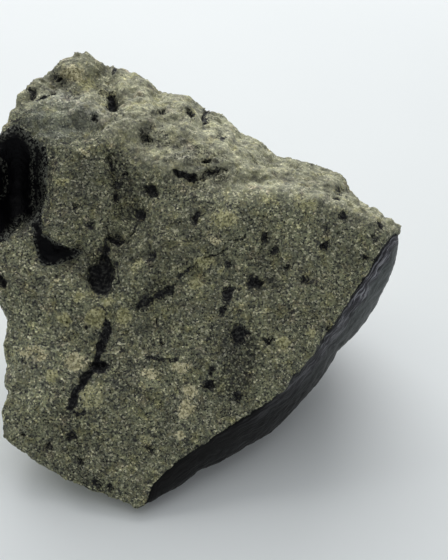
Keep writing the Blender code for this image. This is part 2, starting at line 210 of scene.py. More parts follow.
FELDSPARS = {
    "feldspar_a": (84, 153, 0.4, 0.26, 1.0),
    "feldspar_b": (75, 361, 0.85, 0.75, 1.0),
    "feldspar_c": (26, 355, 0.55, 0.26, 0.95),
    "feldspar_d": (35, 350, 0.72, 0.36, 1.0),
    "feldspar_e": (41, 356, 0.5, 0.42, 1.0),
    "feldspar_f": (150, 374, 0.75, 0.48, 0.75),
    "feldspar_g": (180, 368, 0.76, 0.46, 0.95),
    "feldspar_h": (189, 392, 0.66, 0.62, 0.8),
    "feldspar_i": (186, 410, 0.66, 0.7, 1.0),
    "feldspar_j": (180, 436, 0.44, 0.34, 0.95),
    "feldspar_k": (73, 74, 1.1, 0.7, 1.0),
    "feldspar_l": (57, 280, 0.24, 0.22, 0.9),
    "feldspar_m": (215, 240, 0.6, 0.36, 0.7),
}

# Patches that are darker or paler than the rest, partly their own colour and partly painted light and
# shade: view point, half width and half height in mm, gain.
TONES_AND_PAINTED_LIGHT = {
    "plateau": (160, 250, 4.6, 3.0, -0.3),
    "block": (78, 195, 2.8, 4.2, -0.28),
    "left_flank": (34, 368, 3.2, 4.4, 0.36),
    # Painted highlight along the ridge, where the face tilts up to the light.
    "ridge": (250, 199, 5.4, 1.3, 0.3),
    "top_middle": (222, 138, 2.8, 2.6, 0.14),
    "right_face": (310, 232, 3.6, 2.6, 0.12),
    "top_right": (305, 178, 4.0, 1.4, -0.14),
    "facet": (65, 115, 2.8, 1.8, 0.1),
}

# Outlines of the black glass: the deep pocket with its walls, and the tongue at its foot.
POCKET = [
    (-30, 140), (0, 133), (8, 128), (16, 123), (21, 127), (28, 134), (39, 140), (46, 148),
    (47, 160), (45, 172), (45, 186), (46, 198), (42, 208), (40, 222), (36, 228), (31, 224),
    (22, 222), (14, 230), (8, 240), (0, 243), (-30, 240),
]
GLASS_TONGUE = [
    (31, 222), (40, 216), (43, 233), (52, 240), (63, 245), (83, 253), (67, 260), (54, 266),
    (43, 266), (39, 260), (35, 246), (32, 235),
]
# Paler edges within the pocket's glass.
GLASS_EDGES = [
    [(-2, 157), (4, 164), (6, 178), (6, 187), (4, 196), (-2, 201)],
    [(30, 134), (33, 160), (32, 185), (34, 214)],
]
# A smoother grey facet: view point, half width and half height in mm.
GREY_FACET = (63, 117, 2.9, 1.9)
# The ridge between the front face and the top, how many mm the change takes, and its share on the ridge.
RIDGE_LINE = [
    (-40, 90), (0, 100), (40, 96), (66, 98), (86, 112), (104, 126), (150, 163), (200, 183),
    (245, 192), (300, 193), (350, 208), (395, 228), (430, 240),
]
RIDGE_BLEND_MM = 2.2
RIDGE_SHARE = 0.85
# How far the hidden side is like the top where it faces up, and where that starts.
HIDDEN_TOP = 0.7
HIDDEN_TOP_START = 0.5

# The fine skin: its voxels and smoothing, and how the faces that turn away from the eye are thinned.
SKIN_VOXEL_MM = 0.175
SKIN_SMOOTHING = 18
SKIN_TRIANGLES = 192000
WELD_MM = 0.001
RESTING_MM = 0.03
THINNED_FACING = -0.15
THINNING = 10.0
# How gradually the seen forms end past the outline.
SEEN_FADE = 0.3

# Noise: wavelength in mm, octaves, and where in the noise it starts.
SWELLS = (2.6, 4, 0.0)
BUMPS = (0.8, 3, 31.0)
HOLLOWS = (1.6, 2, 41.0)
CRUST_RAGGED = (1.5, 3, 5.0)
CRUST_RIPPLE = (0.9, 3, 11.0)
WANDER_ACROSS = (0.7, 3, 17.0)
WANDER_DOWN = (0.7, 3, 23.0)

# Heights in mm on the front face, and what is added to them on the top and on the hidden side.
SWELL_MM = 0.15
SWELL_TOP_MM = 0.1
SWELL_HIDDEN_MM = 0.2
BUMP_MM = 0.08
BUMP_TOP_MM = 0.08
HOLLOW_TOP_MM = 0.25
# How far up from the floor the wear and the outline's moves fade in.
GROUND_FADE_MM = 0.6
OUTLINE_FADE_MM = 1.2

# The seed of the chips' tilts and of the scattered spots.
WEAR_SEED = 7
# Chip scars: size in mm and tilt.
CHIPS = [(1.9, 0.2), (0.75, 0.24)]
CHIP_SCATTER = 7.3

# Scattered pits: where in the noise they start and their spacing in mm, and the share of cells with one.
SCATTERED_PITS = [(0.0, 2.3, 0.3), (40.0, 1.3, 0.28)]
HIDDEN_PITS = (60.0, 2.7, 0.46)
SCATTERED_PIT_MM = 0.3
HIDDEN_PIT_MM = 0.5
SCATTERED_DARKNESS = 1.5
PIT_STEEPNESS = 2.0
# A scattered spot's radius and how much it varies, in spacings, and where its chance is read.
SPOT_RADIUS = 0.2
SPOT_RADIUS_SPREAD = 0.08
SPOT_SCATTER = 5.1
SPOT_SCATTER_START = Vector((3.0, 9.0, 1.0))

# How far the outlines of pits, veins and crystals wander, in view points, and the glass's share of it.
WANDER_POINTS = 3.6
GLASS_WANDER = 0.4
# How far out hollows, blackness and stain reach, in half widths, and the stain's share of the darkness; the
# stain around veins and folds is partly painted shade.
PIT_REACH = 1.35
PIT_DARK_REACH = 1.6
PIT_STAIN_REACH = 1.9
PIT_STAIN = 0.75
VEIN_DARK_REACH = 1.9
VEIN_STAIN_AND_SHADE_REACH = 2.2
VEIN_STAIN_AND_SHADE = 0.6
FOLD_STAIN_AND_SHADE_REACH = 1.7

# Crystals: how far out they reach, how they stand out, and the dark ring around them.
CRYSTAL_REACH = 1.6
CRYSTAL_RISE_MM = 0.08
CRYSTAL_RISE_REACH = 1.2
RING_OUT = 1.15
RING_HALF_WIDTH = 0.25
RING_STAIN = 0.6
# Crystals on the hidden side: where in the noise they start and their spacing in mm, and their share.
HIDDEN_OLIVINES = (80.0, 3.2, 0.38)
HIDDEN_FELDSPARS = (120.0, 3.2, 0.38)
HIDDEN_CRYSTAL_STRENGTH = 1.5

# Painted light on the top's knobs and painted shade in its hollows: how much paler and darker they are, and
# how sharply they change.
KNOB_PAINTED_LIGHT = 0.08
KNOB_STEEPNESS = 1.6
HOLLOW_PAINTED_SHADE = 0.4
HOLLOW_STEEPNESS = 2.0
HOLLOW_START = 0.1
TONE_REACH = 1.5
FACET_REACH = 2.2
FACET_STEEPNESS = 1.4

# Black glass: the tongue's sharper rim, its paler edges, and how smooth it is.
TONGUE_GAIN = 2.5
GLASS_EDGE_LEVEL = 0.2
GLASS_EDGE_GAIN = 2.5
GLASS_BLEND_MM = 0.3
GLASS_SMOOTHNESS = 0.6

# Crust: how much the facing that bounds it is smoothed, its edge's raggedness and width, its ripples
# and their stretch along x, y and z, and its step down.
CRUST_SMOOTHING = 180
CRUST_RAGGED_MM = 0.18
CRUST_BLEND_MM = 0.3
CRUST_RIPPLE_MM = 0.09
CRUST_RIPPLE_STRETCH = np.array((0.5, 1.0, 1.0))
CRUST_STEP_MM = 0.12

# A mixing node's sockets for each kind of value: its two inputs and its output.
MIX_SOCKETS = {"FLOAT": (2, 3, 0), "VECTOR": (4, 5, 1), "RGBA": (6, 7, 2)}
# The values between which a material's noise nearly always lies.
NOISE_LOW = 0.3
NOISE_HIGH = 0.7
# Noise in the materials: wavelength in mm, detail and roughness.
EDGE_NOISE = (0.3, 3.0, 0.65)
SPECKLE_NOISE = (0.11, 3.0, 0.7)
CLUMP_NOISE = (0.62, 3.0, 0.6)
PATCH_NOISE = (2.8, 3.0, 0.6)
YELLOW_NOISE = (1.2, 3.0, 0.6)
TAN_NOISE = (1.5, 3.0, 0.6)
SPECK_NOISE = (0.36, 3.0, 0.7)
STAIN_NOISE = (0.55, 3.0, 0.7)
WAVER_NOISE = (1.3, 2.0, 0.5)
FLOOR_NOISE = (40.0, 2.0, 0.5)
GRAIN_MM = 0.16

# A mark's outline on the skin: the mark's value there, how far the grain moves it, and its softness.
MARK_EDGES = {
    "crust": (0.0, 0.5, 0.05),
    "glass": (0.0, 0.35, 0.06),
    "dark": (0.5, 1.1, 0.3),
    "olive": (0.5, 0.9, 0.25),
    "cream": (0.5, 1.1, 0.2),
}

# Colours of the fine crystals, from the darkest mineral to the palest, and the calm stone between them.
MINERALS = (
    (0.0, (0.032, 0.031, 0.033)),
    (0.2, (0.1, 0.102, 0.086)),
    (0.5, (0.197, 0.208, 0.14)),
    (0.8, (0.3, 0.307, 0.205)),
    (1.0, (0.62, 0.6, 0.45)),
)
YELLOW_MINERAL = (0.225, 0.217, 0.135)
YELLOW_GRAINS = (0.75, 0.9)
CALM_STONE = (0.205, 0.213, 0.155)
CALM_TOP = 0.58
CALM_FACET = 0.45
# How speckles, clumps and patches darken and lighten the stone.
SPECKLE_GAINS = ((0.36, 0.36, 0.36), (1.8, 1.8, 1.8))
CLUMP_GAINS = ((0.62, 0.63, 0.67), (1.36, 1.35, 1.27))
PATCH_GAINS = ((0.8, 0.8, 0.83), (1.2, 1.2, 1.13))
# Tints: the noise values between which they rise, their share and their gain.
YELLOW_RISE = (0.53, 0.7)
YELLOW_SHARE = 0.42
YELLOW_GAIN = (1.25, 1.16, 0.7)
TAN_RISE = (0.42, 0.3)
TAN_SHARE = 0.5
TAN_GAIN = (1.14, 0.97, 1.0)
# The top is paler partly by its own colour and partly by painted light where it faces up.
TOP_PAINTED_LIGHT_GAIN = (1.75, 1.69, 1.72)
FACET_GAIN = (0.98, 1.0, 1.12)

OLIVE_TONES = ((0.3, (0.16, 0.152, 0.07)), (0.5, (0.45, 0.43, 0.2)), (0.7, (0.76, 0.73, 0.43)))
OLIVE_SHARE = 0.8
CREAM_TONES = ((0.3, (0.25, 0.225, 0.12)), (0.5, (0.63, 0.575, 0.335)), (0.7, (0.97, 0.9, 0.6)))
CREAM_SHARE = 0.9
# Dark specks and stains, with the stain mark's painted shade among them: where they rise, the mark's and
# the noise's shares, and how strong they are.
SPECK_RISE = (0.62, 0.67)
STAIN_RISE = (0.54, 0.66)
STAIN_MARK_SHARE = 0.35
STAIN_NOISE_SHARE = 0.65
STAIN_SHARE = 0.8
DARK_TONES = (
    (0.38, (0.004, 0.004, 0.005)),
    (0.52, (0.018, 0.018, 0.02)),
    (0.68, (0.1, 0.102, 0.09)),
)

# The crust's flow lines: their noise, and how fast they change per mm inwards, per metre up and by waver.
FLOW_SCALE = 2.0
FLOW_DETAIL = 3.0
FLOW_ROUGHNESS = 0.6
FLOW_ACROSS = 3.0
FLOW_UP = 450.0
FLOW_WAVER = 0.7
# Heights between which the black low crust turns into the grey high crust; that change is partly painted:
# shade low down, where the crust faces the floor, and sheen higher up.
CRUST_RISE_MM = (5.0, 14.0)
LOW_TONES = ((0.35, (0.006, 0.0058, 0.0056)), (0.65, (0.017, 0.0165, 0.0165)))
INNER_TONES = ((0.38, (0.012, 0.011, 0.015)), (0.5, (0.065, 0.062, 0.075)), (0.62, (0.3, 0.3, 0.32)))
# The grey away from the crust's edge is partly painted sheen, such as the crust catches from the bright
# back at a grazing angle.
OUTER_PAINTED_SHEEN_TONES = ((0.3, (0.042, 0.048, 0.047)), (0.7, (0.12, 0.133, 0.132)))
OUTER_WAVER = 0.8
OUTER_RISE_MM = (1.2, 1.75)
CRUST_SPECKLE_GAINS = ((0.7, 0.7, 0.7), (1.3, 1.3, 1.3))
CRUST_EDGE_COLOUR = (0.004, 0.004, 0.004)
CRUST_EDGE_WAVER = 0.3
CRUST_EDGE_RISE_MM = (0.3, 0.5)

GLASS_COLOUR = (0.003, 0.003, 0.004)
WALL_COLOUR = (0.13, 0.135, 0.112)
WALL_RISE_MM = (0.9, 0.3)
WALL_GRAIN_RISE = (0.5, 0.62)

STONE_ROUGHNESS = (0.62, 0.9)
DARK_ROUGHNESS = 0.66
GLASS_ROUGHNESS = 0.24
CRUST_ROUGHNESS = (0.3, 0.6)
STONE_SHINE = 0.24
CRUST_SHINE = 0.15
GLASS_SHINE = 0.1
# Fine relief in the materials: strength and height in mm.
GRAIN_RELIEF = (0.7, 0.1)
CLUMP_RELIEF = (0.6, 0.22)
FLOW_RELIEF = (0.7, 0.12)

FLOOR_SIZE = 2.4
FLOOR_CELLS = 24
FLOOR_TONES = ((0.3, (0.765, 0.795, 0.8)), (0.7, (0.785, 0.815, 0.82)))
FLOOR_ROUGHNESS = 0.6
FLOOR_GLOW = 0.05
FLOOR_GLOW_COLOUR = (0.93, 0.97, 1.0)
# The studio's brightness towards the front and towards its white back.
WORLD_FRONT = 0.18
WORLD_BACK = 0.6
WORLD_COLOUR = (0.95, 0.98, 1.0, 1.0)
# Soft lights: name, place, target, size and power in watts.
LIGHTS = [
    ("back_key", (-0.05, 0.46, 0.34), (0.0, 0.0, 0.01), 0.56, 2.8),
    ("overhead", (-0.02, 0.05, 0.5), (0.0, 0.0, 0.01), 0.6, 0.36),
]


def smooth_step(values):
    """0 below 0, 1 above 1, and a soft rise between."""
    held = np.clip(values, 0.0, 1.0)
    return held * held * (3.0 - 2.0 * held)


def view_of(places_mm):
    """Where places appear in the view, and the points that one mm spans there."""
    offset = places_mm + MIDDLE_MM - EYE_MM
    cos_tilt = math.cos(EYE_TILT)
    sin_tilt = math.sin(EYE_TILT)
    away = offset[:, 1] * cos_tilt - offset[:, 2] * sin_tilt
    up = offset[:, 1] * sin_tilt + offset[:, 2] * cos_tilt
    scale = VIEW_POINTS / away
    return VIEW_WIDTH / 2 + offset[:, 0] * scale, VIEW_HEIGHT / 2 - up * scale, scale


def facing_of(places_mm, normals):
    """How squarely each place faces the eye, from 1 to -1."""
    to_eye = EYE_MM - MIDDLE_MM - places_mm
    to_eye /= np.linalg.norm(to_eye, axis=1)[:, None]
    return np.einsum("ij,ij->i", normals, to_eye)


def line_distance(u, v, points):
    """How far view points are from a line of view points, and the same with a minus sign on its left."""
    nearest = np.full(len(u), np.inf)
    signed = np.zeros(len(u))
    for (first_u, first_v), (last_u, last_v) in zip(points, points[1:]):
        along_u = last_u - first_u
        along_v = last_v - first_v
        part = ((u - first_u) * along_u + (v - first_v) * along_v) / (along_u**2 + along_v**2)
        part = np.clip(part, 0.0, 1.0)
        away = np.hypot(u - first_u - part * along_u, v - first_v - part * along_v)
        side = np.sign(along_u * (v - first_v) - along_v * (u - first_u))
        closer = away < nearest
        nearest = np.where(closer, away, nearest)
        signed = np.where(closer, away * side, signed)
    return nearest, signed


def out_of_line(view, points, half_width):
    """How far out of a line of view points each place is: 0 on it, and 1 at its half width in mm."""
    u, v, scale = view
    return line_distance(u, v, points)[0] / scale / half_width


def out_of_disc(view, centre_u, centre_v, half_width, half_height, turn=0.0):
    """How far out of an ellipse in mm around a view point each place is: 0 at its centre, 1 on its edge."""
    u, v, scale = view
    angle = math.radians(turn)
    across = (u - centre_u) / scale
    down = (v - centre_v) / scale
    along = across * math.cos(angle) + down * math.sin(angle)
    over = down * math.cos(angle) - across * math.sin(angle)
    return np.hypot(along / half_width, over / half_height)


def inside_outline(u, v, points):
    """How far inside a closed outline of view points each view point is, negative outside."""
    closed = points + [points[0]]
    distance = line_distance(u, v, closed)[0]
    inside = np.zeros(len(u), bool)
    for (first_u, first_v), (last_u, last_v) in zip(closed, closed[1:]):
        if first_v == last_v:
            continue
        spans = (first_v > v) != (last_v > v)
        crossing = (last_u - first_u) * (v - first_v) / (last_v - first_v) + first_u
        inside ^= spans & (u < crossing)
    return np.where(inside, distance, -distance)


def noise_of(places_mm, wavelength, octaves, start):
    """Smooth noise at each place, about -1 to 1."""
    values = np.empty(len(places_mm))
    for index, place in enumerate(places_mm / wavelength + start):
        values[index] = noise.fractal(place, 1.0, 2.0, octaves, noise_basis="PERLIN_NEW")
    return values


def chips_of(places_mm, size, tilt):
    """Heights in mm of small flat chip scars, each tilted its own way."""
    heights = np.empty(len(places_mm))
    for index, place in enumerate(places_mm / size):
        place = Vector(place)
        centre = noise.voronoi(place)[1][0]
        lean = noise.noise_vector(centre * CHIP_SCATTER)
        heights[index] = tilt * size * (place - centre).dot(lean)
    return heights


def scattered(places_mm, start_mm, spacing, share):
    """How deep in small scattered spots each place is: 1 in the middle, 0 outside."""
    depths = np.zeros(len(places_mm))
    for index, place in enumerate((places_mm + start_mm) / spacing):
        distances, centres = noise.voronoi(Vector(place))
        chance, breadth, _ = noise.noise_vector(centres[0] * SPOT_SCATTER + SPOT_SCATTER_START)
        if chance > 1.0 - 2.0 * share:
            depths[index] = 1.0 - distances[0] / (SPOT_RADIUS + SPOT_RADIUS_SPREAD * breadth)
    return np.clip(depths, 0.0, 1.0)


def averaged(values, ends, steps):
    """Values of vertices after moving half way to their neighbours' middle, steps times."""
    count = len(values)
    first, second = ends
    neighbours = np.bincount(first, minlength=count) + np.bincount(second, minlength=count)
    for _ in range(steps):
        total = np.empty_like(values)
        for column in range(values.shape[1]):
            total[:, column] = np.bincount(first, values[second, column], count)
            total[:, column] += np.bincount(second, values[first, column], count)
        values = 0.5 * values + 0.5 * total / neighbours[:, None]
    return values


def edge_ends(mesh):
    """The two vertices of each edge."""
    ends = np.empty(2 * len(mesh.edges), np.int32)
    mesh.edges.foreach_get("vertices", ends)
    return ends.reshape(-1, 2).T


def vertex_places(mesh):
    """The vertices' places in mm."""
    flat = np.empty(3 * len(mesh.vertices), np.float32)
    mesh.vertices.foreach_get("co", flat)
    return flat.reshape(-1, 3).astype(float) / MM


def vertex_normals(mesh):
    """The vertices' normals."""
    flat = np.empty(3 * len(mesh.vertices), np.float32)
    mesh.vertex_normals.foreach_get("vector", flat)
    return flat.reshape(-1, 3).astype(float)


def put_places(mesh, places_mm):
    """Moves the vertices to places in mm."""
    mesh.vertices.foreach_set("co", (places_mm * MM).astype(np.float32).ravel())
    mesh.update()


def apply_modifiers(thing):
    """Makes an object's evaluated shape its mesh."""
    depsgraph = bpy.context.evaluated_depsgraph_get()
    thing.data = bpy.data.meshes.new_from_object(thing.evaluated_get(depsgraph))
    thing.modifiers.clear()


def fine_skin(node):
    """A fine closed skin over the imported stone, with its flat faces softened."""
    bm = bmesh.new()
    bm.from_mesh(node.data)
    bmesh.ops.remove_doubles(bm, verts=bm.verts[:], dist=WELD_MM * MM)
    mesh = bpy.data.meshes.new("stone_skin")
    bm.to_mesh(mesh)
    bm.free()
    skin = bpy.data.objects.new("stone_skin", mesh)
    bpy.context.scene.collection.objects.link(skin)
    modifier = skin.modifiers.new("fine_faces", "REMESH")
    modifier.mode = "VOXEL"
    modifier.voxel_size = SKIN_VOXEL_MM * MM
    apply_modifiers(skin)
    thin_hidden_side(skin)
    places = vertex_places(skin.data)
    softened = averaged(places, edge_ends(skin.data), SKIN_SMOOTHING)
    resting = places[:, 2] < RESTING_MM
    softened[resting] = places[resting]
    put_places(skin.data, softened)
    return skin


def thin_hidden_side(skin):
    """Merges vertices, nearly all on the side that the view does not show."""
    hidden = facing_of(vertex_places(skin.data), vertex_normals(skin.data)) < THINNED_FACING
    group = skin.vertex_groups.new(name="hidden_side")
    group.add(np.nonzero(hidden)[0].tolist(), 1.0, "REPLACE")
    modifier = skin.modifiers.new("fewer_faces", "DECIMATE")
    modifier.ratio = min(1.0, SKIN_TRIANGLES / (2.0 * len(skin.data.polygons)))
    modifier.vertex_group = group.name
    modifier.vertex_group_factor = THINNING
    apply_modifiers(skin)
    skin.vertex_groups.clear()


def crust_distance(places_mm, normals, view):
    """How far inside the crust's edge each place is, in mm, negative on the broken faces."""
    u, v, scale = view
    seen_side = line_distance(u, v, CRUST_LINE)[1] / scale
    hidden_side = CRUST_FACING_MM * (normals @ np.array(CRUST_FACING) - CRUST_FACING_LEAST)
    seen_side = np.minimum(seen_side, hidden_side + CRUST_FACING_MM * CRUST_FACING_SLACK)
    seen = facing_of(places_mm, normals) > 0.0
    return np.clip(np.where(seen, seen_side, hidden_side), -CRUST_LIMIT_MM, CRUST_LIMIT_MM)


def outline_shift(places_mm):
    """The moves in mm, across the view, that bring the skin's outline onto the stone's outline."""
    u, v, scale = view_of(places_mm)
    across = u - OUTLINE_CENTRE[0]
    down = v - OUTLINE_CENTRE[1]
    radius = np.hypot(across, down)
    turns = np.arctan2(down, across) / (2.0 * math.pi) % 1.0
    reached = np.zeros(OUTLINE_SECTORS)
    np.maximum.at(reached, (turns * OUTLINE_SECTORS).astype(int) % OUTLINE_SECTORS, radius)
    middles = (np.arange(OUTLINE_SECTORS) + 0.5) / OUTLINE_SECTORS
    outline = np.array(OUTLINE) - np.array(OUTLINE_CENTRE)
    outline_turns = np.arctan2(outline[:, 1], outline[:, 0]) / (2.0 * math.pi) % 1.0
    wanted = np.interp(middles, outline_turns, np.hypot(outline[:, 0], outline[:, 1]), period=1.0)
    way_out = radius / np.interp(turns, middles, reached, period=1.0)
    share = smooth_step((way_out - 1.0) / OUTLINE_BAND + 1.0)
    share *= smooth_step(places_mm[:, 2] / OUTLINE_FADE_MM)
    gap = np.interp(turns, middles, wanted - reached, period=1.0)
    move = share * gap / scale / np.maximum(radius, 1.0)
    rise = -move * down
    return np.stack((move * across, rise * math.sin(EYE_TILT), rise * math.cos(EYE_TILT)), axis=1)


def top_share(view, normals, seen):
    """How much each place belongs to the rough top, or on the hidden side is like it."""
    u, v, scale = view
    above_ridge = -line_distance(u, v, RIDGE_LINE)[1] / scale
    seen_top = smooth_step(above_ridge / RIDGE_BLEND_MM + RIDGE_SHARE)
    hidden_top = HIDDEN_TOP * smooth_step(HIDDEN_TOP_START + normals[:, 2])
    return seen_top * seen + hidden_top * (1.0 - seen)


def worn_height(places, top, hidden, hollows):
    """The height in mm of the broken faces' swells, bumps and chip scars."""
    height = (SWELL_MM + SWELL_TOP_MM * top + SWELL_HIDDEN_MM * hidden) * noise_of(places, *SWELLS)
    height += (BUMP_MM + BUMP_TOP_MM * top) * noise_of(places, *BUMPS)
    height += HOLLOW_TOP_MM * top * hollows
    for size, tilt in CHIPS:
        height += chips_of(places, size, tilt)
    return height


def pits_and_veins(view):
    """How deep in mm, how black and how stained the named pits, veins and folds make each place, the stain
    being partly painted shade.
    """
    deep = np.zeros(len(view[0]))
    dark = np.zeros(len(view[0]))
    stain_and_painted_shade = np.zeros(len(view[0]))
    for centre_u, centre_v, half_width, half_height, depth, darkness, turn in PITS.values():
        out = out_of_disc(view, centre_u, centre_v, half_width, half_height, turn)
        deep += depth * smooth_step(PIT_REACH - out)
        dark = np.maximum(dark, darkness * np.clip(PIT_DARK_REACH - out, 0.0, 1.0))
        stain_and_painted_shade = np.maximum(stain_and_painted_shade, PIT_STAIN * darkness * smooth_step(PIT_STAIN_REACH - out))
    for points, half_width, depth, darkness in VEINS.values():
        out = out_of_line(view, points, half_width)
        deep += depth * np.exp(-out * out)
        dark = np.maximum(dark, darkness * np.clip(VEIN_DARK_REACH - out, 0.0, 1.0))
        stain_and_painted_shade = np.maximum(stain_and_painted_shade, VEIN_STAIN_AND_SHADE * darkness * smooth_step(VEIN_STAIN_AND_SHADE_REACH - out))
    for points, half_width, depth, darkening in FOLDS.values():
        out = out_of_line(view, points, half_width)
        deep += depth * np.exp(-out * out)
        stain_and_painted_shade = np.maximum(stain_and_painted_shade, darkening * smooth_step(FOLD_STAIN_AND_SHADE_REACH - out))
    return deep, dark, stain_and_painted_shade


def crystals_of(kind, view):
    """How surely each place is a crystal of a kind, how high in mm it stands, and how dark its ring is."""
    share = np.zeros(len(view[0]))
    rise = np.zeros(len(view[0]))
    ring = np.zeros(len(view[0]))
    for centre_u, centre_v, half_width, half_height, strength in kind.values():
        out = out_of_disc(view, centre_u, centre_v, half_width, half_height)
        share = np.maximum(share, strength * np.clip(CRYSTAL_REACH - out, 0.0, 1.0))
        rise += CRYSTAL_RISE_MM * smooth_step(CRYSTAL_RISE_REACH - out)
        near_ring = 1.0 - np.abs(out - RING_OUT) / RING_HALF_WIDTH
        ring = np.maximum(ring, RING_STAIN * strength * smooth_step(near_ring))
    return share, rise, ring


def glass_of(view, wandering):
    """How far inside the black glass each place is, in mm, less along its paler edges."""
    u = view[0] + GLASS_WANDER * (wandering[0] - view[0])
    v = view[1] + GLASS_WANDER * (wandering[1] - view[1])
    scale = view[2]
    pocket = inside_outline(u, v, POCKET) / scale
    tongue = TONGUE_GAIN * inside_outline(u, v, GLASS_TONGUE) / scale
    glass = np.maximum(pocket, tongue)
    for points in GLASS_EDGES:
        away = out_of_line(wandering, points, 1.0)
        glass = np.minimum(glass, GLASS_EDGE_LEVEL + GLASS_EDGE_GAIN * away)
    return glass


def tone_and_painted_light_of(view, top, seen, hollows):
    """How much paler than the plain stone each place is, painted light and shade included."""
    # Painted light on the top's knobs and painted shade in its hollows.
    painted_knob_light = KNOB_PAINTED_LIGHT * smooth_step(KNOB_STEEPNESS * hollows)
    painted_hollow_shade = HOLLOW_PAINTED_SHADE * smooth_step(-HOLLOW_STEEPNESS * hollows - HOLLOW_START)
    tone = 1.0 + top * (painted_knob_light - painted_hollow_shade)
    for centre_u, centre_v, half_width, half_height, gain in TONES_AND_PAINTED_LIGHT.values():
        out = out_of_disc(view, centre_u, centre_v, half_width, half_height)
        tone += seen * gain * smooth_step(TONE_REACH - out)
    return tone


def add_marks(mesh, marks):
    """Keeps each mark as a number on every vertex."""
    for name, values in marks.items():
        attribute = mesh.attributes.new(name, "FLOAT", "POINT")
        attribute.data.foreach_set("value", values.astype(np.float32))


def shape_and_mark(skin):
    """Wears the skin into chips, grain, pits and cracks, and marks what each place is made of."""
    noise.seed_set(WEAR_SEED)
    mesh = skin.data
    places = vertex_places(mesh)
    normals = vertex_normals(mesh)
    seen = smooth_step(facing_of(places, normals) / SEEN_FADE + 1.0)
    hidden = 1.0 - seen

    # The broken faces' wear, and the whole outline brought to its place.
    view = view_of(places)
    ragged = CRUST_RAGGED_MM * noise_of(places, *CRUST_RAGGED)
    broad_normals = averaged(normals, edge_ends(mesh), CRUST_SMOOTHING)
    crust = crust_distance(places, broad_normals, view) + ragged
    crust_share = smooth_step(crust / CRUST_BLEND_MM + 0.5)
    hollows = noise_of(places, *HOLLOWS)
    height = worn_height(places, top_share(view, normals, seen), hidden, hollows)
    step = height * (1.0 - crust_share) - CRUST_STEP_MM * crust_share
    fitted = places + outline_shift(places + normals * step[:, None])

    # The small forms, each at its own place in the view.
    view = view_of(fitted)
    u, v, scale = view
    wander_u = u + WANDER_POINTS * noise_of(places, *WANDER_ACROSS)
    wander_v = v + WANDER_POINTS * noise_of(places, *WANDER_DOWN)
    wandering = (wander_u, wander_v, scale)
    crust = crust_distance(fitted, broad_normals, view) + ragged
    crust_share = smooth_step(crust / CRUST_BLEND_MM + 0.5)
    top = top_share(view, normals, seen)
    spots = np.max([scattered(places, *row) for row in SCATTERED_PITS], axis=0)
    hidden_spots = hidden * scattered(places, *HIDDEN_PITS)
    deep, dark, stain_and_painted_shade = pits_and_veins(wandering)
    olive, olive_rise, olive_ring = crystals_of(OLIVINES, wandering)
    cream, cream_rise, cream_ring = crystals_of(FELDSPARS, wandering)
    hidden_olive = HIDDEN_CRYSTAL_STRENGTH * hidden * scattered(places, *HIDDEN_OLIVINES)
    hidden_cream = HIDDEN_CRYSTAL_STRENGTH * hidden * scattered(places, *HIDDEN_FELDSPARS)
    glass = glass_of(view, wandering)
    out_of_facet = out_of_disc(wandering, *GREY_FACET)
    facet = smooth_step(FACET_REACH - FACET_STEEPNESS * out_of_facet)

    height -= SCATTERED_PIT_MM * smooth_step(PIT_STEEPNESS * spots)
    height -= HIDDEN_PIT_MM * smooth_step(PIT_STEEPNESS * hidden_spots)
    height += seen * (olive_rise + cream_rise - deep)
    height *= 1.0 - GLASS_SMOOTHNESS * smooth_step(glass / GLASS_BLEND_MM + 0.5)
    ripple = CRUST_RIPPLE_MM * noise_of(places * CRUST_RIPPLE_STRETCH, *CRUST_RIPPLE)
    height = height * (1.0 - crust_share) + crust_share * (ripple - CRUST_STEP_MM)
    height *= smooth_step(places[:, 2] / GROUND_FADE_MM)
    moved = fitted + normals * height[:, None]
    moved[:, 2] = np.maximum(moved[:, 2], 0.0)
    put_places(mesh, moved)
    mesh.polygons.foreach_set("use_smooth", np.ones(len(mesh.polygons), bool))

    spots = np.maximum(spots, hidden_spots)
    add_marks(mesh, {
        "crust": crust,
        "dark": np.maximum(dark * seen, SCATTERED_DARKNESS * spots),
        "stain_and_painted_shade": np.maximum(stain_and_painted_shade, np.maximum(olive_ring, cream_ring)) * seen,
        "glass": np.clip(glass, -1.0, 1.0) * seen - hidden,
        "olive": np.maximum(olive * seen, hidden_olive),
        "cream": np.maximum(cream * seen, hidden_cream),
        "facet": facet * seen,
        "top": top,
        "tone": tone_and_painted_light_of(wandering, top, seen, hollows),
    })


